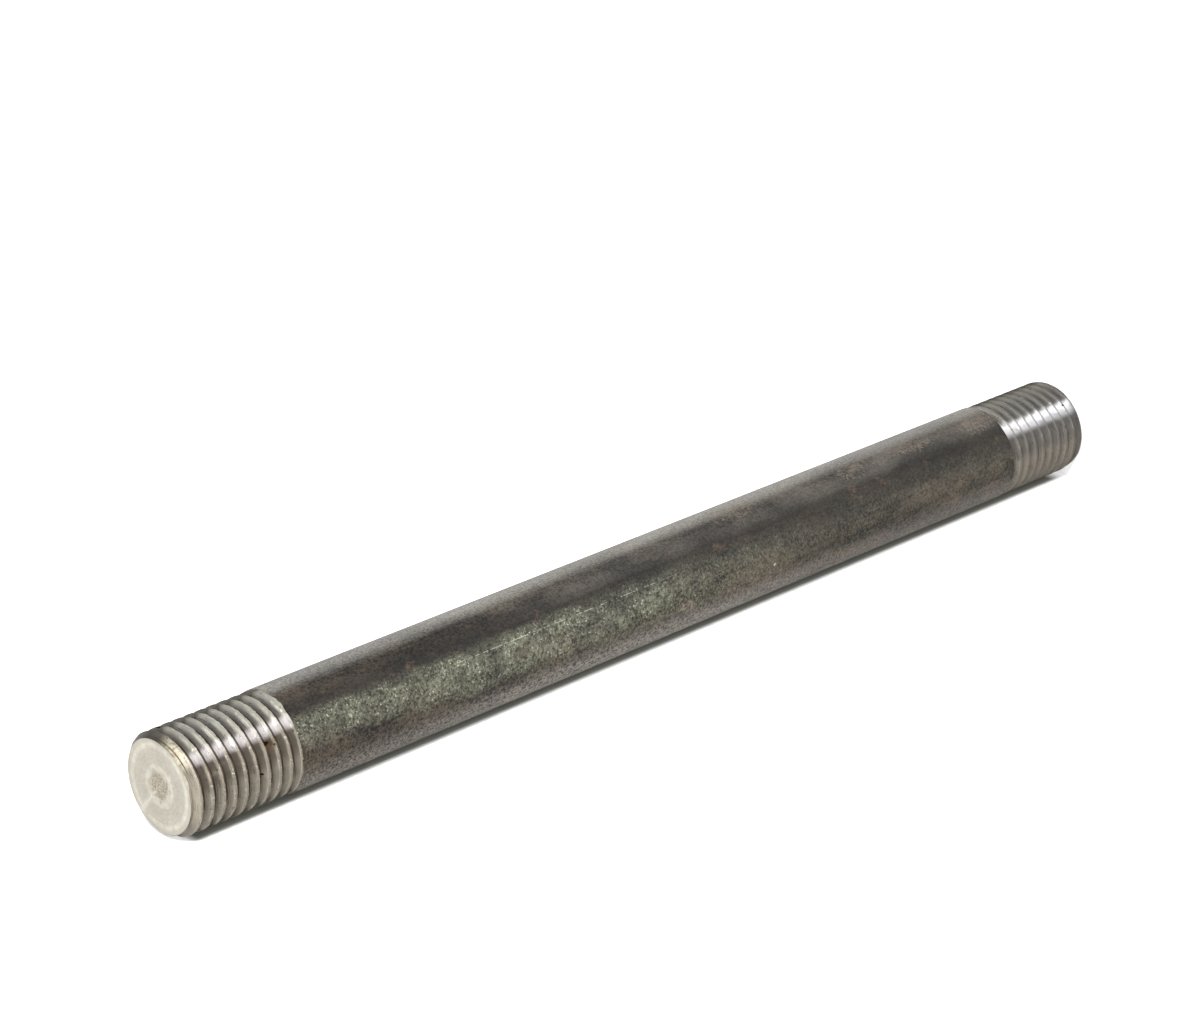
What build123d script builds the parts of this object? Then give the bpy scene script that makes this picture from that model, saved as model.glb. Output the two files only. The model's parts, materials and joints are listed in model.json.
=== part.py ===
"""Suspension stud: a length of hot-rolled round bar with a right-hand thread cut on each end.

The stud is one piece. It stands on its lower face, with its axis on Z and the middle of that face at
the origin. Angles about the axis start at +X and rise towards +Y.
"""
from build123d import *
import math
import os

# Bar, in millimetres
overall_length = 304.8  # 12 in from face to face
bar_diameter = 25.4  # 1 in, as rolled between the threads, and the threads' own size

# Thread, 1 in - 8 UNC with a flat root
thread_pitch = 3.175  # 8 turns in an inch
flank_angle = 30.0  # degrees from the radius to each flank
turning_allowance = 0.32  # taken off the bar's diameter before the thread is cut
upper_land_length = 30.6  # turned length at the upper end
lower_land_length = 28.8
upper_thread_length = 29.95  # end face to where the groove is last at full depth
lower_thread_length = 28.35
upper_runout_angle = 170.0  # degrees about the axis where that is
lower_runout_angle = -42.0
runout_radius = 21.2  # arc on which the tool leaves the bar
tool_overhang = 0.3  # how far the cutting form stands out of the bar

# Ends
chamfer_depth = 1.24  # from the thread's crest in to the flat face
chamfer_angle = 45.0  # degrees from the face
dish_diameter = 6.0  # low spot in the middle of the upper face
dish_depth = 0.25

bar_radius = bar_diameter / 2
crest_radius = (bar_diameter - turning_allowance) / 2
face_radius = crest_radius - chamfer_depth
dish_radius = dish_diameter / 2
chamfer_length = chamfer_depth * math.tan(math.radians(chamfer_angle))
shoulder = bar_radius - crest_radius  # the step from thread land to bar, sloped at 45 degrees

# Thread form: the groove is half a pitch wide at the pitch line and widens with the flanks. The
# standard gives the pitch line's and the root's depth in heights of the sharp thread.
flank_slope = math.tan(math.radians(flank_angle))
sharp_height = thread_pitch / (2 * flank_slope)
pitch_line_radius = bar_radius - sharp_height * 3 / 8
root_radius = bar_radius - sharp_height * 17 / 24
outer_radius = bar_radius + tool_overhang


def groove_half_width(radius):
    """Half the groove's width along the axis, at a radius."""
    return thread_pitch / 4 + (radius - pitch_line_radius) * flank_slope


def groove_start(height, angle, outward):
    """Frame of a groove: its x points at an angle about the axis and its z at the end face."""
    turned = math.radians(angle)
    return Plane(
        origin=(0, 0, height), x_dir=(math.cos(turned), math.sin(turned), 0), z_dir=(0, 0, outward)
    )


# The groove, alike for both ends. Its full-depth helix starts on +X of this frame and climbs turn by
# turn along +Z until it is clear of the end face. Behind the start it leaves the bar on an arc that is
# tangent to the helix.
turns = math.ceil(max(upper_thread_length, lower_thread_length) / thread_pitch) + 1
helix_climb = math.atan(thread_pitch / (2 * math.pi * root_radius))
axis_offset = runout_radius - root_radius
runout_sweep = math.degrees(
    math.acos(
        (runout_radius**2 + axis_offset**2 - outer_radius**2) / (2 * runout_radius * axis_offset)
    )
)
runout_plane = Plane(
    origin=(-axis_offset, 0, 0),
    x_dir=(1, 0, 0),
    z_dir=(0, -math.sin(helix_climb), math.cos(helix_climb)),
)

with BuildPart() as groove:
    with BuildLine(runout_plane) as runout:
        CenterArc((0, 0), runout_radius, -runout_sweep, runout_sweep)
    with BuildLine():
        for turn in range(turns):
            Helix(thread_pitch, thread_pitch, root_radius, center=(0, 0, turn * thread_pitch))
    with BuildSketch(Plane(runout.line @ 0, x_dir=runout_plane.z_dir, z_dir=runout.line % 0)):
        root_half = groove_half_width(root_radius)
        crest_half = groove_half_width(crest_radius)
        crest_height = crest_radius - root_radius
        outer_height = outer_radius - root_radius
        with BuildLine():
            Polyline(
                (-root_half, 0),
                (root_half, 0),
                (crest_half, crest_height),
                (crest_half, outer_height),
                (-crest_half, outer_height),
                (-crest_half, crest_height),
                close=True,
            )
        make_face()
    sweep(is_frenet=True)

# The bar, turned from its half outline: up from the lower face over chamfer, thread land and
# shoulder, the same at the upper end, and in over the dish to the axis.
with BuildPart() as stud:
    with BuildSketch(Plane.XZ):
        with BuildLine():
            dish = TangentArc(
                (0, overall_length - dish_depth), (dish_radius, overall_length), tangent=(1, 0)
            )
            Polyline(
                dish @ 0,
                (0, 0),
                (face_radius, 0),
                (crest_radius, chamfer_length),
                (crest_radius, lower_land_length),
                (bar_radius, lower_land_length + shoulder),
                (bar_radius, overall_length - upper_land_length - shoulder),
                (crest_radius, overall_length - upper_land_length),
                (crest_radius, overall_length - chamfer_length),
                (face_radius, overall_length),
                dish @ 1,
            )
        make_face()
    revolve(axis=Axis.Z)
    with Locations(
        groove_start(overall_length - upper_thread_length, upper_runout_angle, 1),
        groove_start(lower_thread_length, lower_runout_angle, -1),
    ):
        add(groove.part, mode=Mode.SUBTRACT)

stud.part.label = "stud"
os.makedirs("parts", exist_ok=True)
export_step(stud.part, "parts/stud.step")
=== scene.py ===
# %% [markdown]
# # A suspension stud, dressed for the studio
# The stud is a length of round bar with a coarse right-hand thread cut on each end. The bar keeps the
# dark scale that hot rolling left on it, and only the threads and the end faces show bright steel. The
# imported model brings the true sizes. This script gives it a finer skin: thread crests that the die
# tore, marks of the turning tool, scale, stains and scratches.

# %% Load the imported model
import bmesh
import bpy
import json
import math
from mathutils import Matrix, Vector


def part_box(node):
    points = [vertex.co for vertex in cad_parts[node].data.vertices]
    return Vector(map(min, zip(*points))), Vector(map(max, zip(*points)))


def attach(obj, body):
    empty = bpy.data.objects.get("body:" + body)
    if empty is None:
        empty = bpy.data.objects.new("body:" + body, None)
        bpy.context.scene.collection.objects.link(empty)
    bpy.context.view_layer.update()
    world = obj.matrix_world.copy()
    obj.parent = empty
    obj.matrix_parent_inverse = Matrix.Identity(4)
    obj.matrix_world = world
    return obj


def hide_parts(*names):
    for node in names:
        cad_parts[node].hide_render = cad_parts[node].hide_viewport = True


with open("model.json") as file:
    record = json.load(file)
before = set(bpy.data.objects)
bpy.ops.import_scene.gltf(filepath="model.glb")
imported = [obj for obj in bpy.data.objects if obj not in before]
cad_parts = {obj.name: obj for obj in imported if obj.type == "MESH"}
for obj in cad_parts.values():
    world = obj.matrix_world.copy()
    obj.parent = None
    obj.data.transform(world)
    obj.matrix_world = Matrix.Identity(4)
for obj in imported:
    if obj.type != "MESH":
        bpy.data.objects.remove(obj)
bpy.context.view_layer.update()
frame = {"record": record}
low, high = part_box("stud")
print("the stud stands", round(1000 * (high.z - low.z), 1), "mm tall")

# %% [markdown]
# ## Sizes
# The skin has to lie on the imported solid, so the lengths and radii come from the model's own record:
# each mount there states a measured cylinder. Only the thread's form is added, which is fixed by the
# 1 inch, 8 turns to the inch standard. The tree works in millimetres, like a machinist, and turns them
# into metres in its last step.

# %% Sizes of bar and thread
MM = 0.001

mounts = {mount["name"]: mount["dims"] for mount in frame["record"]["mounts"]}
length = (high.z - low.z) / MM
bar_radius = mounts["shank"]["r_mm"]
crest_radius = mounts["upper_thread"]["r_mm"]

thread_pitch = 3.175
flank_slope = math.tan(math.radians(30))  # sideways for each millimetre of height
sharp_height = thread_pitch / (2 * flank_slope)
pitch_line_radius = bar_radius - sharp_height * 3 / 8
root_radius = bar_radius - sharp_height * 17 / 24
chamfer = 1.24  # from the crest in to the flat face
dish_radius = 3.0  # low spot in the middle of the upper face
dish_depth = 0.25
print("root radius", round(root_radius, 3), "mm, crest radius", crest_radius, "mm")


def groove_half_width(radius):
    """Half the groove's width along the axis, at a radius."""
    return thread_pitch / 4 + (radius - pitch_line_radius) * flank_slope


# %% [markdown]
# ## Sums on sockets
# Geometry Nodes and shaders both do their sums with Math nodes. Wiring them by hand hides the formula,
# so a small class wraps a socket and lets Python's own signs add the nodes. Every other node comes
# from one method that takes the node's type, its settings and what goes into its sockets.


# %% A socket that can be used in formulas
class Wire:
    """An output socket that formulas can use."""

    def __init__(self, socket):
        self.socket = socket
        self.tree = socket.id_data

    @staticmethod
    def node(tree, kind, settings=None, inputs=None, output=0):
        """Adds a node: settings first, then the values or wires of its sockets."""
        made = tree.nodes.new(kind)
        for name, value in (settings or {}).items():
            setattr(made, name, value)
        for key, value in (inputs or {}).items():
            socket = made.inputs[key]
            for part in value if isinstance(value, list) else [value]:
                if isinstance(part, Wire):
                    tree.links.new(part.socket, socket)
                elif socket.type == "RGBA":
                    socket.default_value = (*part[:3], 1.0)
                else:
                    socket.default_value = part
        return Wire(made.outputs[output]) if made.outputs else None

    def math(self, operation, *others):
        """One Math node with this value first."""
        values = dict(enumerate((self, *others)))
        return Wire.node(self.tree, "ShaderNodeMath", {"operation": operation}, values)

    def before(self, operation, first):
        """One Math node with this value second."""
        settings = {"operation": operation}
        return Wire.node(self.tree, "ShaderNodeMath", settings, {0: first, 1: self})

    def __add__(self, other):
        return self.math("ADD", other)

    __radd__ = __add__

    def __sub__(self, other):
        return self.math("SUBTRACT", other)

    def __rsub__(self, other):
        return self.before("SUBTRACT", other)

    def __mul__(self, other):
        return self.math("MULTIPLY", other)

    __rmul__ = __mul__

    def __truediv__(self, other):
        return self.math("DIVIDE", other)

    def __rtruediv__(self, other):
        return self.before("DIVIDE", other)

    def __gt__(self, other):
        return self.math("GREATER_THAN", other)

    def __lt__(self, other):
        return self.math("LESS_THAN", other)

    def min(self, other):
        return self.math("MINIMUM", other)

    def max(self, other):
        return self.math("MAXIMUM", other)

    def clamp(self, lowest, highest):
        return self.max(lowest).min(highest)

    def step(self, start, end, low=0.0, high=1.0, smooth=True):
        """Goes from low to high while this value goes from start to end."""
        settings = {"interpolation_type": "SMOOTHSTEP" if smooth else "LINEAR"}
        values = {0: self, 1: start, 2: end, 3: low, 4: high}
        return Wire.node(self.tree, "ShaderNodeMapRange", settings, values)


def vector(tree, x, y, z):
    """A vector from three values or wires."""
    return Wire.node(tree, "ShaderNodeCombineXYZ", None, {0: x, 1: y, 2: z})


def parts_of(wire):
    """The x, y and z of a vector."""
    split = Wire.node(wire.tree, "ShaderNodeSeparateXYZ", None, {0: wire})
    return [Wire(socket) for socket in split.socket.node.outputs]


def noise(at, scale, detail=2.0, roughness=0.5, seed=0.0):
    """Smooth random values from 0 to 1 over a vector, some scale to the unit, shifted by a seed."""
    shifted = Wire.node(
        at.tree, "ShaderNodeVectorMath", {"operation": "ADD"}, {0: at, 1: (seed, -seed, 2 * seed)}
    )
    values = {"Vector": shifted, "Scale": scale, "Detail": detail, "Roughness": roughness}
    return Wire.node(at.tree, "ShaderNodeTexNoise", None, values)


print("formulas on sockets are ready")


# %% [markdown]
# ## One threaded end
# A thread is a rule, not a drawing: at any distance from the face and any angle about the axis, the
# surface is the lower of the turned blank and the groove that the die left. So a flat grid is enough.
# Each column of the grid is an angle. Its rows are not rings but follow the helix, so that the crest
# and root edges always lie on a row and stay crisp. Rows that would pass the end face or the plain
# bar are held at that ring, where they fall together and are merged.
#
# A boolean cut would also work, but leaves slivers, and its crests could not be torn afterwards.


# %% A tree with named inputs
def new_tree(name, sizes):
    """A Geometry Nodes tree with a mesh going out, and its named inputs as wires."""
    tree = bpy.data.node_groups.new(name, "GeometryNodeTree")
    tree.interface.new_socket(name="Mesh", in_out="OUTPUT", socket_type="NodeSocketGeometry")
    for label, value in sizes.items():
        kind = "NodeSocketInt" if isinstance(value, int) else "NodeSocketFloat"
        socket = tree.interface.new_socket(name=label, in_out="INPUT", socket_type=kind)
        socket.default_value = value
    source = tree.nodes.new("NodeGroupInput")
    return tree, {label: Wire(source.outputs[label]) for label in sizes}


def finish_tree(tree, mesh):
    """Wires a mesh to the tree's way out."""
    way_out = tree.nodes.new("NodeGroupOutput")
    tree.links.new(mesh.socket, way_out.inputs["Mesh"])


def grid(tree, rows, columns):
    """A flat grid, with each vertex's row and column as wires."""
    sizes = {"Size X": rows, "Size Y": columns, "Vertices X": rows + 1, "Vertices Y": columns + 1}
    mesh = Wire.node(tree, "GeometryNodeMeshGrid", None, sizes)
    x, y, _ = parts_of(Wire.node(tree, "GeometryNodeInputPosition"))
    return mesh, x + rows / 2, y + columns / 2


def placed(mesh, radius, angle, height):
    """The grid's vertices put round the axis; the angle is in radians."""
    at = vector(mesh.tree, radius * angle.math("COSINE"), radius * angle.math("SINE"), height)
    return Wire.node(mesh.tree, "GeometryNodeSetPosition", None, {"Geometry": mesh, "Position": at})


print("trees can be built from flat grids")

# %% [markdown]
# ## The cut surface as a formula
# On a lathe the blank is turned first: a chamfer at the end, a land a little thinner than the bar and
# a sloped shoulder. Then the die cuts a groove that winds round it and leaves the bar on an arc, the
# run-out. At any place the surface is whichever of the two lies deeper. The formula asks for the
# nearest turn of the groove and how far aside of it the place is.
#
# What differs between the two ends is written once, as a pair: the upper end's value, then the lower's.


# %% The surface's radius at any place
shared_sizes = {
    "Columns": 288,
    "Bar Radius": bar_radius,
    "Crest Radius": crest_radius,
    "Root Radius": root_radius,
    "Pitch": thread_pitch,
    "Flank Slope": flank_slope,
    "Root Half Width": groove_half_width(root_radius),
    "Crest Half Width": groove_half_width(crest_radius),
    "Chamfer": chamfer,
    "Run-out Radius": 21.2,
}
end_sizes = {
    "Land Length": (30.6, 28.8),
    "Thread Length": (mounts["upper_thread"]["length_mm"], mounts["lower_thread"]["length_mm"]),
    "Start Angle": (170.0, 42.0),  # degrees, where the groove is last at full depth
    "Section Length": (31.6, 29.8),  # the tree's share of the stud, a little past the shoulder
    "Dish Depth": (dish_depth, 0.0),
    "Tear": (1.0, 0.55),
    "Seed": (3.0, 8.0),
}


def surface_radius(size, depth, turned):
    """The lower of blank and groove, at a depth below the end face and turns past the run-out."""
    cone = size["Crest Radius"] - size["Chamfer"] + depth
    shoulder = size["Bar Radius"] - size["Crest Radius"]
    land = size["Crest Radius"] + (depth - size["Land Length"]).clamp(0.0, shoulder)
    blank = cone.min(land)

    along = (size["Thread Length"] - depth) / size["Pitch"] - turned
    nearest = along.math("ROUND")
    aside = (along - nearest).math("ABSOLUTE") * size["Pitch"]
    past = ((nearest + turned) * (-2 * math.pi)).clamp(0.0, math.pi / 2)
    offset = size["Run-out Radius"] - size["Root Radius"]
    sideways = offset * past.math("SINE")
    chord = (size["Run-out Radius"] * size["Run-out Radius"] - sideways * sideways).math("SQRT")
    path = chord - offset * past.math("COSINE")
    groove = path + (aside - size["Root Half Width"]).max(0.0) / size["Flank Slope"]
    return blank.min(groove)


print("the groove is", round(2 * shared_sizes["Root Half Width"], 2), "mm wide at its root")


# %% [markdown]
# ## A strip wound round the end
# Rows that follow the helix are spread so that one falls on each edge of the thread form. The die tore
# this coarse thread, so the edges of the crest wander and are nicked. That is done to the mesh and not
# in the material, because it shows on the outline.

# %% The threaded end as a tree
ROWS_A_PITCH = 14
PITCHES = 12
FACE_RINGS = 14
SAME_ROW = 0.02  # rows that differ by less are the same row
WANDER = 0.9  # mm, how far noise from 0 to 1 moves a crest edge along the axis
NICK_DEPTH = 0.32  # mm
WEAR = 0.06  # mm
TOUCHING = 0.002  # mm, vertices nearer than this are merged

upper_sizes = {name: pair[0] for name, pair in end_sizes.items()}
end_tree, size = new_tree("threaded_end", {**shared_sizes, **upper_sizes})

strip, row, column = grid(end_tree, ROWS_A_PITCH * PITCHES, shared_sizes["Columns"])
angle = column * (2 * math.pi / shared_sizes["Columns"])
turned = (column / shared_sizes["Columns"]) - size["Start Angle"] / 360
pitches = row / ROWS_A_PITCH
whole = pitches.math("FLOOR")
across = pitches - whole - 0.5

# Rows are spread so that one falls on each edge: two on the root, two on the crest, the rest on flanks
part = across.math("ABSOLUTE") * 2
root_share = size["Root Half Width"] * 2 / size["Pitch"]
crest_share = size["Crest Half Width"] * 2 / size["Pitch"]
edge = 2 / ROWS_A_PITCH
spread = (
    part.step(0.0, edge, smooth=False) * root_share
    + part.step(edge, 1 - edge, smooth=False) * (crest_share - root_share)
    + part.step(1 - edge, 1.0, smooth=False) * (1 - crest_share)
)
place = whole - 1 + turned + spread * across.math("SIGN") / 2
free_depth = size["Thread Length"] - place * size["Pitch"]
depth = free_depth.clamp(0.0, size["Section Length"])
radius = surface_radius(size, depth, turned)

# The die tore the crests: their edges wander along the axis and are nicked
shifted = radius * angle.math("COSINE") + size["Seed"]
on_bar = vector(end_tree, shifted, radius * angle.math("SINE"), depth)
inside = depth.step(0.3, 1.2) * (size["Section Length"] - depth).step(0.6, 1.4)
on_crest = (part > 1 - edge - SAME_ROW) * (radius > size["Crest Radius"] - 0.3) * inside
on_edge = on_crest * (part < 1 - edge + SAME_ROW)
wander = noise(on_bar, 0.9, 3.0, 0.6, 11.0) - 0.5
nicks = noise(on_bar, 1.7, 2.0, 0.6, 23.0).step(0.58, 0.80)
worn = noise(on_bar, 0.35, 1.0, 0.5, 31.0)
torn_depth = depth + on_edge * wander * size["Tear"] * WANDER
torn_radius = radius - on_crest * (nicks * NICK_DEPTH + worn * WEAR) * size["Tear"]

sleeve = placed(strip, torn_radius, angle, torn_depth * -1)

disc, ring, spoke = grid(end_tree, FACE_RINGS, shared_sizes["Columns"])
face_angle = spoke * (2 * math.pi / shared_sizes["Columns"])
face_turned = (spoke / shared_sizes["Columns"]) - size["Start Angle"] / 360
at_face = Wire.node(end_tree, "ShaderNodeValue")  # its value is 0, the depth of the face
rim = surface_radius(size, at_face, face_turned)
inward = ring / FACE_RINGS
face_radius = rim * (1 - inward)
of_dish = face_radius / dish_radius
hollow = (1 - of_dish * of_dish).max(0.0) * size["Dish Depth"]
face = placed(disc, face_radius, face_angle, hollow * -1)

both = Wire.node(end_tree, "GeometryNodeJoinGeometry", None, {0: [sleeve, face]})
merged = {"Geometry": both, "Distance": TOUCHING}
closed = Wire.node(end_tree, "GeometryNodeMergeByDistance", None, merged)
finish_tree(end_tree, closed)
print("the tree of a threaded end has", len(end_tree.nodes), "nodes")

# %% [markdown]
# ## The whole skin
# The stud's two ends are alike, so the same tree is used twice, the second time turned end for end.
# That keeps both threads right-handed, as turning a real stud end for end does. A plain sleeve joins
# them, and its columns meet those of the ends.

# %% Ends and bar joined
END_NAMES = ("Upper", "Lower")
BAR_ROWS = 24

skin_sizes = {"Length": length, **shared_sizes}
for name, pair in end_sizes.items():
    for end, value in zip(END_NAMES, pair):
        skin_sizes[f"{end} {name}"] = value
skin_tree, skin = new_tree("stud_skin", skin_sizes)

ends = []
for k, end in enumerate(END_NAMES):
    values = {name: skin[name] for name in shared_sizes}
    values.update({name: skin[f"{end} {name}"] for name in end_sizes})
    half = Wire.node(skin_tree, "GeometryNodeGroup", {"node_tree": end_tree}, values)
    moved = {
        "Geometry": half,
        "Translation": vector(skin_tree, 0.0, 0.0, skin["Length"] * (1 - k)),
        "Rotation": (math.pi * k, 0.0, 0.0),
    }
    ends.append(Wire.node(skin_tree, "GeometryNodeTransform", None, moved))

sleeve, row, column = grid(skin_tree, BAR_ROWS, shared_sizes["Columns"])
lower_end = skin["Lower Section Length"]
upper_end = skin["Length"] - skin["Upper Section Length"]
bar_height = lower_end + (upper_end - lower_end) * (row / BAR_ROWS)
bar_angle = column * (2 * math.pi / shared_sizes["Columns"])
bar = placed(sleeve, skin["Bar Radius"], bar_angle, bar_height)

joined = Wire.node(skin_tree, "GeometryNodeJoinGeometry", None, {0: [*ends, bar]})
merged = {"Geometry": joined, "Distance": TOUCHING}
closed = Wire.node(skin_tree, "GeometryNodeMergeByDistance", None, merged)
shrunk = {"Geometry": closed, "Scale": (MM, MM, MM)}
metres = Wire.node(skin_tree, "GeometryNodeTransform", None, shrunk)
plain = Wire.node(skin_tree, "GeometryNodeRealizeInstances", None, {"Geometry": metres})
finish_tree(skin_tree, plain)
print("the tree of the whole skin has", len(skin_tree.nodes), "nodes")

# %% [markdown]
# ## Where each finish lies
# The whole stud is one mesh and gets one material, because its finishes run into each other: the
# scale stops on a wandering line where the die was run on, and stains cross from one to the other.
# Everything is found from the place on the stud in millimetres: how far from each face, how far from
# the axis and at which angle. The angle goes in as its sine and cosine, so no pattern has a seam.

# %% Places on the stud
steel = bpy.data.materials.new("bar_and_thread")
steel.use_nodes = True
shade = steel.node_tree
shade.nodes.clear()

spot = Wire.node(shade, "ShaderNodeTexCoord", output=3)
east, north, height = (axis * (1 / MM) for axis in parts_of(spot))
from_upper = length - height
from_end = from_upper.min(height)
out = (east * east + north * north).math("SQRT")
east_turn = east / out.max(0.01)
north_turn = north / out.max(0.01)
in_mm = vector(shade, east, north, height)


def around(angle, width):
    """1 at an angle about the axis, in degrees, falling to 0 at some degrees to each side."""
    facing = east_turn * math.cos(math.radians(angle)) + north_turn * math.sin(math.radians(angle))
    return facing.step(math.cos(math.radians(width)), 1.0)


def stretched(east_scale, height_scale):
    """Places in mm with the pattern made longer across or along the bar."""
    return vector(shade, east * east_scale, north * east_scale, height * height_scale)


def blend(factor, first, second):
    """From the first colour to the second."""
    values = {0: factor, 6: first, 7: second}
    return Wire.node(factor.tree, "ShaderNodeMix", {"data_type": "RGBA"}, values, output=2)


def layered(colour, layers):
    """A colour with others laid over it in turn; each layer is how much of it, then its colour."""
    for factor, over in layers:
        colour = blend(factor, colour, over)
    return colour


print("a place is wired with", len(shade.nodes), "nodes")

# %% Masks of bright steel, thread and face
LAND_LENGTHS = (30.55, 28.95)  # mm, upper and lower, to where the scale begins
EDGE_WANDER = 1.5  # mm
EDGE_BLUR = 0.06  # mm
FACE_SKIN = 0.03  # mm, what lies this near to the face belongs to it

edge_wander = (noise(stretched(0.25, 0.05), 1.0, 2.0, 0.5, 5.0) - 0.5) * EDGE_WANDER
upper_land = (LAND_LENGTHS[0] + edge_wander - from_upper).step(-EDGE_BLUR, EDGE_BLUR)
lower_land = (LAND_LENGTHS[1] + edge_wander - height).step(-EDGE_BLUR, EDGE_BLUR)
cut_into_bar = (bar_radius - 0.12 - out).step(0.0, 0.08)
bright = upper_land.max(lower_land).max(cut_into_bar)
in_thread = (out - root_radius) / (crest_radius - root_radius)  # 0 at the root, 1 on the crest
of_dish = out / dish_radius
on_face = from_end < (1 - of_dish * of_dish).max(0.0) * dish_depth + FACE_SKIN
print("masks of bright steel, thread and face make", len(shade.nodes), "nodes")

# %% [markdown]
# ## Mill scale
# When steel is rolled red hot, the air turns its skin into a thin, hard, blue-black oxide. On a bar
# that has lain about, it is no longer even: it is grainy like fine sandpaper, rubbed greenish-grey
# along one side, where a highlight is painted too, a little rusty in places, and streaked along the
# bar by handling.
#
# The oxide is not a metal, so it is a dark dielectric and its sheen comes from Fresnel, with more
# sheen painted on the side that was up and shade painted on one flank. Layers of noise from a third
# of a millimetre to several centimetres make the grain, the clouds and the streaks, and the grain is
# also the relief that catches the lamp.

# %% Mill scale
fine_grain = noise(in_mm, 1.45, 2.0, 0.8, 1.0).step(0.38, 0.62, smooth=False)
coarse_grain = noise(in_mm, 0.6, 2.0, 0.65, 7.0).step(0.36, 0.64, smooth=False)
cloud = noise(stretched(0.11, 0.045), 1.0, 3.0, 0.55, 2.0).step(0.38, 0.62, smooth=False)
blotch = noise(stretched(0.16, 0.11), 1.0, 3.0, 0.6, 12.0).step(0.40, 0.60, smooth=False)
streak = noise(stretched(1.1, 0.025), 1.0, 2.0, 0.6, 3.0).step(0.36, 0.64, smooth=False)

BLACK_OXIDE = (0.001, 0.0008, 0.0005)
BROWN_OXIDE = (0.066, 0.051, 0.037)
# the colour of the painted shade on one flank of the scale
SHADED_OXIDE = (0.004, 0.003, 0.002)

softer = from_upper.step(70, 250, 1.0, 0.6)  # the grain is weaker towards the lower end
soft_grain = 0.5 + (fine_grain - 0.5) * softer
scale_tone = soft_grain * 0.40 + coarse_grain * 0.12 + cloud * 0.34 + streak * 0.14
oxide = blend(scale_tone.step(0.25, 0.80, smooth=False), BLACK_OXIDE, BROWN_OXIDE)
# Painted shade: one flank of the scale is painted darker.
painted_shade_side = around(-46, 34)
print("scale", len(shade.nodes), "nodes")

# %% [markdown]
# ## Rubbed places, painted highlight, sheen and bounce light
# Bars lie against each other in a rack. One side of this one is rubbed to a greenish grey, with a
# painted highlight and painted glints over it. The side that was up is painted lighter as a sheen, and
# the underside is painted lighter as light thrown up from the paper, most in the middle of the length.
# Each is an angle about the axis and a stretch of the length, broken up by the noise of the scale.

# %% Rubbed places, painted highlight, sheen and bounce light, and rust
by_thread = from_upper.step(52, 80, 1.0, 0.0)  # the rubbed band with its painted highlight is narrower beside the upper thread
# Partly rubbed scale, and partly a painted highlight where the low side lamp falls.
rubbed_and_highlight_side = around(-70, 31) * (1 - by_thread) + around(-62, 24) * by_thread
rubbed_and_highlight = rubbed_and_highlight_side * (0.3 + 0.7 * blotch) * from_upper.step(105, 200, 1.0, 0.12)
rubbed_and_highlight_middle = around(-82, 28) * from_upper.step(80, 120) * from_upper.step(150, 210, 1.0, 0.3)
rubbed_and_highlight = rubbed_and_highlight.max(rubbed_and_highlight_middle * 0.3)
# Painted glints: small bright specks in the band.
painted_glint = noise(in_mm, 1.7, 1.0, 0.5, 33.0).step(0.62, 0.72)
rubbed_and_highlight_tone = fine_grain * 0.7 + coarse_grain * 0.3
rubbed_and_highlight_colour = blend(rubbed_and_highlight_tone, (0.004, 0.0045, 0.003), (0.18, 0.185, 0.13))
rubbed_and_highlight_colour = blend(painted_glint * 0.9, rubbed_and_highlight_colour, (0.42, 0.43, 0.31))
print("rubbed side", len(shade.nodes), "nodes")

# Painted sheen: the top and the upper flank of the scale are painted lighter.
flank_painted_sheen = around(-16, 26) * from_upper.step(60, 150, 0.1, 1.0) * (0.08 + 0.12 * cloud)
painted_sheen = (around(29, 45) * (0.75 + 0.25 * cloud)).max(flank_painted_sheen)
sheen_grain = noise(in_mm, 2.2, 3.0, 0.75, 27.0).step(0.3, 0.7, smooth=False)
sheen_tone = sheen_grain * 0.6 + soft_grain * 0.4
sheen_colour = blend(sheen_tone, (0.12, 0.112, 0.10), (0.54, 0.52, 0.48))

# Painted reflected light: the underside is painted lighter, as if lit from the paper, most mid-length.
mid_length = from_upper.step(65, 110) * from_upper.step(160, 210, 1.0, 0.0)
painted_bounce_light = around(-138, 44) * (0.6 + 0.4 * mid_length)
bounce_light_colour = blend(soft_grain, (0.020, 0.018, 0.016), (0.23, 0.205, 0.18))
rust = noise(stretched(0.3, 0.2), 1.0, 4.0, 0.65, 21.0).step(0.60, 0.74) * 0.5
RUST_BROWN = (0.125, 0.078, 0.052)

scale_colour = layered(oxide, [
    # painted shade on one flank
    (painted_shade_side * 0.7, SHADED_OXIDE),
    # rubbing with a painted highlight and painted glints
    (rubbed_and_highlight * 0.9, rubbed_and_highlight_colour),
    # painted sheen on the top
    (painted_sheen * 0.87, sheen_colour),
    # painted reflected light on the underside
    (painted_bounce_light, bounce_light_colour),
    (rust * (0.4 + 0.6 * fine_grain), RUST_BROWN),
])
scale_rough = 0.56 - fine_grain * 0.14 + cloud * 0.05
scale_relief = fine_grain * 0.045 + coarse_grain * 0.045 + streak * 0.006
print("scale with its rubbed, dusty and rusty places", len(shade.nodes), "nodes")

# %% [markdown]
# ## Cut thread
# The thread was cut, so its steel is bare. Its flanks carry fine streaks along the helix, its roots
# are painted dark as shade, and its crests are torn, with pale burrs and brown specks. Highlights and
# shade of the lamps are painted along the turns as well. The height between root and crest, worked
# out from the distance to the axis, tells the shader where it is.

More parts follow.
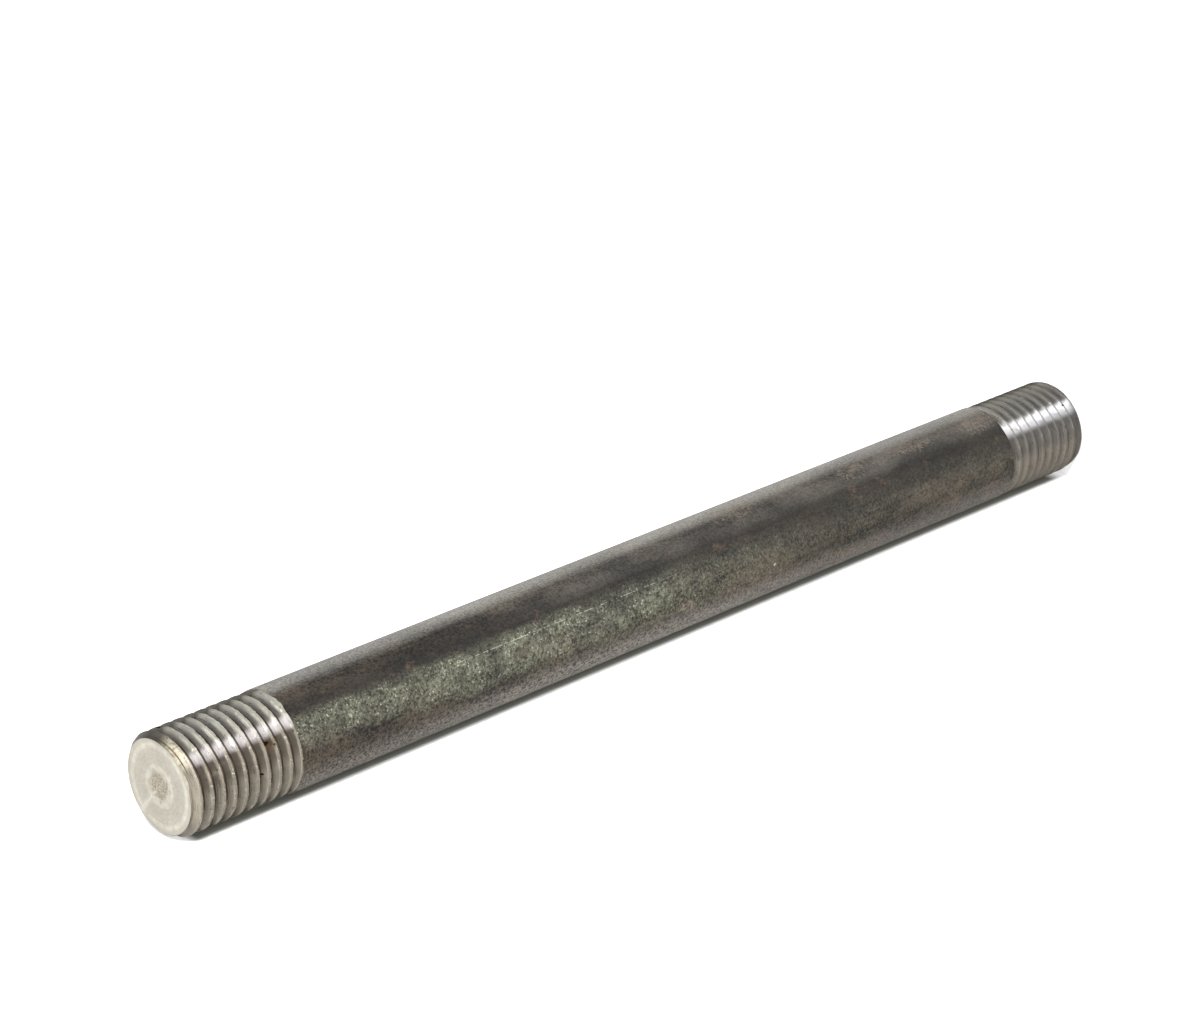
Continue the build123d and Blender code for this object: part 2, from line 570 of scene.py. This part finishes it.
# %% Cut thread
helix_streak = noise(vector(shade, east_turn * 0.6, north_turn * 0.6, out * 5), 1.0, 2.0, 0.6, 4.0)
helix_streak = helix_streak.step(0.35, 0.65, smooth=False)
smear = noise(stretched(0.22, 0.3), 1.0, 3.0, 0.6, 14.0).step(0.38, 0.62, smooth=False)
speck = noise(in_mm, 1.3, 1.0, 0.5, 17.0).step(0.70, 0.76)
torn_grain = noise(in_mm, 2.0, 3.0, 0.7, 19.0).step(0.35, 0.65, smooth=False)

# Painted shade: the roots are painted dark.
root = in_thread.step(0.03, 0.16, 1.0, 0.0)
crest = in_thread.step(0.92, 0.99)
burr = in_thread.step(0.80, 0.88) * in_thread.step(0.93, 0.98, 1.0, 0.0)
print("patterns of the cut", len(shade.nodes), "nodes")

# %% Sides of the thread
# The top side of the bar, where the flank gets its painted light and shade.
top_side = around(4, 60)
torn_side = (1 - top_side) * torn_grain
# Painted highlight along the line where the main lamp's reflection falls, broken by the streaks.
painted_highlight = around(-44, 11) * (1 - helix_streak * 0.6) * height.step(20, 45, 0.6, 1.0)
# Painted shade: a dark band just below the painted highlight.
painted_shade_band = around(-64, 26)
# Darker towards the bottom and the back.
darker_bottom_and_back = around(-150, 66).max(around(85, 66) * 0.8)
# Darker over the top, less on the lower thread.
darker_top = (around(50, 46) * 2.2 * height.step(20, 45, 0.5, 1.0)).min(0.8)
greyer = height.step(20, 45, 0.45, 0.0)
lower_thread_zone = height.step(18, 45, 1.0, 0.0)  # the lower thread, with its own painted highlight and painted shade

# The flank is painted darker towards the root as shade and lighter towards the crest, most on top.
flank_low = blend(top_side, (0.28, 0.253, 0.208), (0.17, 0.155, 0.16))
flank_high = blend(top_side, (0.33, 0.302, 0.25), (0.60, 0.61, 0.53))
flank = blend(in_thread.step(0.25, 0.88), flank_low, flank_high)
print("sides of the thread", len(shade.nodes), "nodes")

# %% Colour of the cut thread
cut_colour = layered(flank, [
    (helix_streak * 0.38, (0.23, 0.215, 0.205)),
    (darker_bottom_and_back * 0.62, (0.15, 0.135, 0.11)),
    (greyer, (0.13, 0.12, 0.11)),
    (smear * 0.35, (0.33, 0.29, 0.245)),
    # painted shade band
    (painted_shade_band * 0.7, (0.095, 0.08, 0.066)),
    (torn_side * 0.35, (0.19, 0.165, 0.13)),
    # painted highlight
    (painted_highlight * 0.8, (0.78, 0.75, 0.77)),
    # painted shade about the lower thread's highlight line, then a painted highlight on it
    (lower_thread_zone * around(-46, 52) * 0.75, (0.155, 0.152, 0.147)),
    (lower_thread_zone * around(-44, 14) * 0.6, (0.60, 0.605, 0.63)),
    (crest * (0.8 - top_side * 0.6) * (1 - lower_thread_zone), (0.23, 0.20, 0.16)),
    (crest * lower_thread_zone * 0.5, (0.09, 0.08, 0.07)),
    (burr * (0.1 + 0.4 * smear) * (1 - lower_thread_zone * 0.8), (0.60, 0.56, 0.48)),
    (speck * in_thread.step(0.6, 0.9), (0.10, 0.06, 0.035)),
    # painted shade in the roots
    (root * 0.88, (0.040, 0.028, 0.020)),
    (darker_top, (0.050, 0.040, 0.030)),
])
cut_rough = 0.25 + helix_streak * 0.10 + smear * 0.06 + crest * 0.22
cut_relief = helix_streak * 0.010 + smear * 0.01 + torn_side * 0.025
print("cut thread", len(shade.nodes), "nodes")

# %% [markdown]
# ## Faced end
# A lathe tool crossed the face from rim to middle and left rings. Where it reached the middle it
# slowed and tore the steel, so the low spot there is rough and brown. Rings of one width everywhere
# reflect a lamp as two bright wedges, one on each side of the middle. One of them is also painted on
# as a thin light streak.

# %% Faced end
RIM_RING = 9.7  # mm, radii of the two rings that the tool left paler
MIDDLE_RING = 4.3

rings = noise(vector(shade, out * 2.2, 0.0, 0.0), 1.0, 2.0, 0.7, 6.0).step(0.3, 0.7, smooth=False)
broad_rings = noise(vector(shade, out * 0.7, 0.0, 0.0), 1.0, 1.0, 0.5, 16.0).step(0.35, 0.65)
face_smear = noise(in_mm, 0.35, 3.0, 0.6, 9.0).step(0.35, 0.65, smooth=False)
face_grain = noise(in_mm, 2.2, 2.0, 0.7, 10.0)
grain_tone = face_grain.step(0.35, 0.65)
# Painted highlight: a thin light wedge on the face where a lamp's reflection falls.
highlight_wedge = around(140, 6)
ragged_out = out + (noise(in_mm, 0.8, 2.0, 0.6, 9.0) - 0.5) * 3.4
pale_rim = (out - RIM_RING).math("ABSOLUTE").step(0.2, 0.9, 1.0, 0.0)
pale_ring = (ragged_out - MIDDLE_RING).math("ABSOLUTE").step(0.2, 1.1, 0.7, 0.0)
torn_middle = ragged_out.step(2.3, 3.9, 1.0, 0.0)
print("patterns of the face", len(shade.nodes), "nodes")

# %% Colour of the faced end
face_tone = rings * 0.3 + broad_rings * 0.25 + face_smear * 0.2 + grain_tone * 0.25
middle_colour = blend(grain_tone, (0.24, 0.20, 0.145), (0.52, 0.465, 0.38))
turned_colour = blend(face_tone, (0.35, 0.325, 0.265), (0.59, 0.56, 0.485))
face_colour = layered(turned_colour, [
    (pale_rim.max(pale_ring) * (0.2 + 0.5 * face_smear), (0.73, 0.70, 0.62)),
    # painted highlight wedge
    (highlight_wedge * 0.25, (0.84, 0.82, 0.78)),
    (torn_middle * 0.8, middle_colour),
])
face_rough = 0.31 + torn_middle * 0.15 - highlight_wedge * 0.08
face_relief = rings * 0.020 + torn_middle * face_grain * 0.10
print("faced end", len(shade.nodes), "nodes")

# %% [markdown]
# ## Marks of use
# Handling left single marks: a gouge across one crest, chips, drips of rust, and a long scratch where
# the bar was dragged. Each is an oval on the surface, given by its distance from the upper face and
# its angle about the axis. Noise frays its edge, so that none looks stamped.

# %% Single marks
fray = (noise(in_mm, 1.1, 2.0, 0.6, 41.0) - 0.5) * 1.6


def mark(place, angle, half_length, half_width, frayed=1.0):
    """1 inside an oval on the surface: mm from the upper face, degrees about the axis, mm, mm."""
    turn = math.radians(angle)
    aside = north * math.cos(turn) - east * math.sin(turn)
    facing = (east * math.cos(turn) + north * math.sin(turn)) > 0.0
    along = (from_upper - place) / half_length
    across_mark = aside / half_width
    reach = (along * along + across_mark * across_mark).math("SQRT") + fray * frayed
    return reach.step(0.7, 1.1, 1.0, 0.0) * facing


def any_of(marks):
    """The strongest of several marks."""
    strongest = marks[0]
    for other in marks[1:]:
        strongest = strongest.max(other)
    return strongest


print("marks can be placed")

# %% Damage, dust and rust spots
gouge = mark(22.5, -57.5, 0.75, 0.55, 0.6).max(mark(23.9, -61.5, 0.4, 0.35, 0.5) * 0.8)
gouge_rim = mark(23.0, -59.5, 1.3, 1.1, 0.9) * 0.45
chips = any_of([
    mark(2.4, 20, 0.9, 1.6),
    mark(4.3, 22, 0.6, 1.3, 0.6),
    mark(28.0, -6, 0.45, 0.45, 0.4),
    mark(20.0, -90, 0.28, 0.3, 0.4),
    mark(28.7, -114, 0.28, 0.28, 0.4),
    mark(291.0, -3, 0.6, 0.7, 0.4),
    mark(300.2, -41, 0.35, 0.3, 0.4),
    mark(297.6, -67, 0.35, 0.4, 0.4),
    mark(279.5, -116, 0.5, 0.5, 0.4),
])
sparks = any_of([
    mark(5.8, -68, 0.3, 0.7, 0.3),
    mark(9.4, -60, 0.3, 0.3, 0.3),
    mark(22.3, -93, 0.3, 0.35, 0.3),
])
scratch = any_of([
    mark(110.0, -55, 42.0, 0.13, 0.25),
    mark(118.0, -117, 6.0, 0.12, 0.25),
])
tan_patches = any_of([
    mark(179.0, -4, 8.0, 3.6, 1.6),
    mark(221.0, -17, 5.0, 2.4, 1.8),
    mark(245.0, -16, 6.0, 2.2, 1.8),
    mark(269.0, -20, 6.0, 2.6, 1.8),
    mark(152.0, -95, 3.0, 1.6, 1.8),
])
pale_spot = mark(183.0, -88, 0.5, 0.4, 0.5)
print("spots", len(shade.nodes), "nodes")

# %% Stained rims, and painted shade on the lower rim
first_turn = from_upper.step(1.4, 2.4, 1.0, 0.0) * (1 - on_face)
golden = first_turn * around(-26, 34)
beige = first_turn * around(-78, 62)
# Darker on the top of the first turn.
first_turn_top_dark = first_turn * around(8, 22)
off_rim = (out - (crest_radius - chamfer + 0.08)).math("ABSOLUTE")
rim_line = off_rim.step(0.05, 0.2, 1.0, 0.0) * around(-30, 42) * from_upper.step(1.0, 2.0, 1.0, 0.0)
# Painted shade: the lower end's rim and face are painted darker.
painted_shade_lower_rim = height.step(1.3, 2.3, 1.0, 0.0)
print("stained rims", len(shade.nodes), "nodes")

# %% [markdown]
# ## One material from three finishes
# A mask picks the finish at each place. Scale is a dielectric and bare steel is a metal, so the same
# mask is also the Metallic value. A tool that turns leaves marks that run round the bar, and such
# marks spread a lamp's reflection across them: that is the anisotropy. Its direction needs no map,
# because Blender's own one runs round the upright axis, as the marks do.

# %% The finished material
damage = gouge.max(chips)
metal_colour = layered(blend(on_face, cut_colour, face_colour), [
    (beige * 0.6, (0.46, 0.41, 0.335)),
    (golden * 0.6, (0.66, 0.60, 0.44)),
    (golden * streak * fine_grain * 0.8, (0.10, 0.075, 0.045)),
    (rim_line * (0.4 + 0.6 * smear), (0.07, 0.035, 0.012)),
    # darker on the top of the first turn
    (first_turn_top_dark * 0.88, (0.07, 0.06, 0.05)),
    # painted shade on the lower rim
    (painted_shade_lower_rim * 0.7, (0.09, 0.085, 0.08)),
    (gouge_rim, (0.16, 0.09, 0.035)),
    (damage, (0.015, 0.010, 0.007)),
    (sparks, (0.90, 0.88, 0.84)),
])
bar_colour = layered(scale_colour, [
    (tan_patches * (0.3 + 0.7 * coarse_grain) * (0.1 + 0.4 * fine_grain), (0.25, 0.20, 0.155)),
    (pale_spot * 0.7, (0.36, 0.34, 0.32)),
    (scratch * coarse_grain.step(0.3, 0.7) * 0.6, (0.34, 0.34, 0.31)),
])
metal_rough = cut_rough + on_face * (face_rough - cut_rough) + damage * 0.3
metal_relief = cut_relief + on_face * (face_relief - cut_relief) - gouge * 0.25
colour = blend(bright, bar_colour, metal_colour)
rough = scale_rough + bright * (metal_rough - scale_rough)
relief = scale_relief + bright * (metal_relief - scale_relief) - scratch * 0.03
bump = Wire.node(shade, "ShaderNodeBump", None, {"Strength": 1.0, "Distance": MM, "Height": relief})
finish = {
    "Base Color": colour,
    "Metallic": bright * (0.72 - on_face * 0.22),
    "Roughness": rough,
    "IOR": 1.33,
    "Anisotropic": 0.88,
    "Anisotropic Rotation": 0.25,
    "Normal": bump,
}
surface = Wire.node(shade, "ShaderNodeBsdfPrincipled", None, finish)
Wire.node(shade, "ShaderNodeOutputMaterial", None, {"Surface": surface})
print("the steel has", len(shade.nodes), "nodes")

# %% [markdown]
# ## The skin as a plain mesh
# A Geometry Nodes modifier can stay live, or its result can be taken out. It is taken out here, because
# only a plain mesh can be measured, closed and exported. Its inputs are set by their identifiers before
# it is first evaluated, and the object that held the modifier goes.

# %% The skin as a plain mesh
holder = bpy.data.objects.new("holder", bpy.data.meshes.new("holder"))
bpy.context.scene.collection.objects.link(holder)
grow = holder.modifiers.new("skin", "NODES")
grow.node_group = skin_tree
ways_in = [item for item in skin_tree.interface.items_tree if item.in_out == "INPUT"]
identifiers = {item.name: item.identifier for item in ways_in}
for label, value in skin_sizes.items():
    grow[identifiers[label]] = value
evaluated = holder.evaluated_get(bpy.context.evaluated_depsgraph_get())
shape = bpy.data.meshes.new_from_object(evaluated)
shape.materials.clear()  # the grids bring an empty slot
shape.materials.append(steel)
bpy.data.objects.remove(holder)
print("the skin has", len(shape.vertices), "vertices")

# %% [markdown]
# ## Closed, outward and crisp
# A solid bar has no gap in its skin, so every edge of the mesh joins two faces, and the volume is that
# of the solid. The real stud is round about its axis and sharp along each edge of the thread. So the
# mesh is shaded smooth, and edges that turn by more than the limit are marked sharp.

# %% Closed, outward and crisp
SHARP_ANGLE = 32

work = bmesh.new()
work.from_mesh(shape)
bmesh.ops.recalc_face_normals(work, faces=work.faces)
open_edges = sum(1 for edge in work.edges if len(edge.link_faces) != 2)
volume = work.calc_volume() / MM**3
work.to_mesh(shape)
work.free()
shape.shade_smooth()
shape.set_sharp_from_angle(angle=math.radians(SHARP_ANGLE))
triangles = sum(len(face.vertices) - 2 for face in shape.polygons)
print("triangles", triangles, "open edges", open_edges, "volume", round(volume), "mm3")

# %% [markdown]
# ## In place of the plain solid
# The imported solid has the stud's true form but no torn crests. It stays for collisions, and the skin
# is shown for it. Both sit at the origin, so the skin needs no fitting.

# %% In place of the plain solid
stud = bpy.data.objects.new("stud_skin", shape)
bpy.context.scene.collection.objects.link(stud)
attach(stud, "root")
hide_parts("stud")
print("the skin stands for the solid, with", len(stud.material_slots), "material")

# %% [markdown]
# ## White paper
# Small hardware is shown on white paper, with only a narrow shadow along the line where it touches.
# The stud stands on one sheet and leans with its side against another, so its shadow falls on both.
#
# More light would make the paper white but would bleach the steel. Instead the paper is plain and
# matt, and glows a little to the camera alone. Beside the line of contact a shadow is painted: there
# the glow goes and the paper is painted grey. From behind, a sheet is clear.

# %% White paper
paper = bpy.data.materials.new("white_paper")
paper.use_nodes = True
sheet = paper.node_tree
sheet.nodes.clear()

# In metres: how far from the stud's foot, and how far aside of the line that the bar touches
paper_x, paper_y, paper_z = parts_of(Wire.node(sheet, "ShaderNodeTexCoord", output=3))
distance = (paper_x * paper_x + paper_y * paper_y + paper_z * paper_z).math("SQRT")
aside = paper_y.math("ABSOLUTE")
beside_bar = (paper_z - length * MM).step(-0.006, -0.002, 1.0, 0.0) * paper_z.step(0.0, 0.006)
# Painted shadow: beside the line of contact the paper is painted grey, darkest nearest the bar.
painted_shadow = aside.step(0.0056, 0.0076, 1.0, 0.0) * beside_bar
painted_shadow_core = aside.step(0.0038, 0.0064, 1.0, 0.0)
painted_shadow_colour = blend(painted_shadow_core, (0.27, 0.28, 0.235), (0.13, 0.135, 0.105))
paper_colour = blend(painted_shadow, (0.88, 0.88, 0.87), painted_shadow_colour)
print("paper colour", len(sheet.nodes), "nodes")

# %% The paper's glow
path = sheet.nodes.new("ShaderNodeLightPath")
mirrored = Wire(path.outputs["Is Glossy Ray"]).max(Wire(path.outputs["Is Transmission Ray"]))
seen = Wire(path.outputs["Is Camera Ray"]) * distance.step(0.6, 1.6, 0.5, 1.0) + mirrored * 0.08
matt = Wire.node(sheet, "ShaderNodeBsdfDiffuse", None, {"Color": paper_colour})
# the glow fades in the painted shadow
glow = Wire.node(sheet, "ShaderNodeEmission", None, {"Strength": seen * (1 - painted_shadow * 0.95)})
lit = Wire.node(sheet, "ShaderNodeAddShader", None, {0: matt, 1: glow})
behind = Wire.node(sheet, "ShaderNodeNewGeometry", output=6)
clear = Wire.node(sheet, "ShaderNodeBsdfTransparent")
one_sided = Wire.node(sheet, "ShaderNodeMixShader", None, {0: behind, 1: lit, 2: clear})
Wire.node(sheet, "ShaderNodeOutputMaterial", None, {"Surface": one_sided})
print("paper", len(sheet.nodes), "nodes")


# %% Floor and backdrop
def sheet_of_paper(name, corners):
    """A flat stage sheet through its corners, with its front where they run anticlockwise."""
    mesh = bpy.data.meshes.new(name)
    mesh.from_pydata(corners, [], [tuple(range(len(corners)))])
    mesh.materials.append(paper)
    made = bpy.data.objects.new(name, mesh)
    bpy.context.scene.collection.objects.link(made)


REACH = 6.0  # metres
wall = -bar_radius * MM
floor_corners = [(wall, -REACH, 0), (REACH, -REACH, 0), (REACH, REACH, 0), (wall, REACH, 0)]
wall_corners = [(wall, -REACH, 0), (wall, REACH, 0), (wall, REACH, REACH), (wall, -REACH, REACH)]
sheet_of_paper("floor", floor_corners)
sheet_of_paper("backdrop", wall_corners)
print("the backdrop touches the bar at x =", round(wall, 4), "m")

# %% [markdown]
# ## The air of the studio
# Bright steel shows what is around it. A white room gives the scale its soft grey sheen at low angles,
# and a ceiling that is darker than the walls leaves the bar's upper flank dark, as black cloth above a
# table does. Only rays that the steel mirrors see the walls at full strength.

# %% The air of the studio
world = bpy.data.worlds.new("studio")
world.use_nodes = True
bpy.context.scene.world = world
sky = world.node_tree
sky.nodes.clear()
path = sky.nodes.new("ShaderNodeLightPath")
by_camera = Wire(path.outputs["Is Camera Ray"])
mirrored = Wire(path.outputs["Is Glossy Ray"]).max(Wire(path.outputs["Is Transmission Ray"]))
seen = by_camera.max(mirrored)
upwards = parts_of(Wire.node(sky, "ShaderNodeTexCoord", output=0))[2]
ceiling = upwards.step(0.25, 0.85) * (1 - by_camera)
strength = (seen * 0.7 + 0.3) * (1 - ceiling * 0.65)
air = Wire.node(sky, "ShaderNodeBackground", None, {"Color": (1, 1, 1), "Strength": strength})
Wire.node(sky, "ShaderNodeOutputWorld", None, {"Surface": air})
print("air", len(sky.nodes), "nodes")

# %% [markdown]
# ## Lamps
# Tool marks that run round the bar draw a lamp's reflection out along the bar: every turn of the
# thread lights up on one line, and the end face shows two thin wedges. So the main lamp is small and
# stands where that line should fall. A low one at the side lifts the rubbed side of the scale, and a
# large weak one overhead fills the rest.


# %% Lamps
def lamp(name, place, width, depth, watts):
    """A rectangular lamp turned towards the middle of the stud, and not seen itself; in metres."""
    data = bpy.data.lights.new(name, "AREA")
    data.shape = "RECTANGLE"
    data.size = width
    data.size_y = depth
    data.energy = watts
    made = bpy.data.objects.new(name, data)
    bpy.context.scene.collection.objects.link(made)
    made.location = place
    made.visible_camera = False
    aim = Vector((0, 0, 0.15)) - Vector(place)
    made.rotation_euler = aim.to_track_quat("-Z", "Y").to_euler()


lamp("overhead", (0.40, 0.30, 1.45), 0.5, 0.5, 2.5)
lamp("side", (0.20, -0.62, 0.08), 0.16, 0.08, 2.2)
lamp("main", (0.91, -0.52, 0.92), 0.11, 0.11, 14.5)
print(len(bpy.data.lights), "lamps")

# %% [markdown]
# ## Camera
# The stud is seen from its upper face's side and a little from above its flank, with a long lens that
# keeps its edges nearly parallel. It is easiest to aim as if the stud lay on a table along X: pan,
# tilt and distance are plain there. One more turn then stands stud and camera up together.

# %% Camera
PAN = 45.98 - 90  # degrees, from looking along the bar
TILT = 90 - 23.32  # degrees, from looking straight down
EYE = (-0.58084, -0.58274, 0.38848)  # metres, with the stud lying along X and centred
FOCAL_LENGTH = 110.17  # mm
FILM_WIDTH = 36.0

camera_data = bpy.data.cameras.new("camera")
camera_data.lens = FOCAL_LENGTH
camera_data.sensor_width = FILM_WIDTH
camera = bpy.data.objects.new("camera", camera_data)
bpy.context.scene.collection.objects.link(camera)

pan = Matrix.Rotation(math.radians(PAN), 4, "Z")
tilt = Matrix.Rotation(math.radians(TILT), 4, "X")
lying = Matrix.Translation(EYE) @ pan @ tilt
stand_up = Matrix.Rotation(math.radians(90), 4, "Y")
camera.matrix_world = Matrix.Translation((wall, 0, length * MM / 2)) @ stand_up @ lying
bpy.context.scene.camera = camera
bpy.context.scene.view_settings.view_transform = "Standard"
print("the camera is", round(camera.matrix_world.translation.length, 2), "m from the stud's foot")
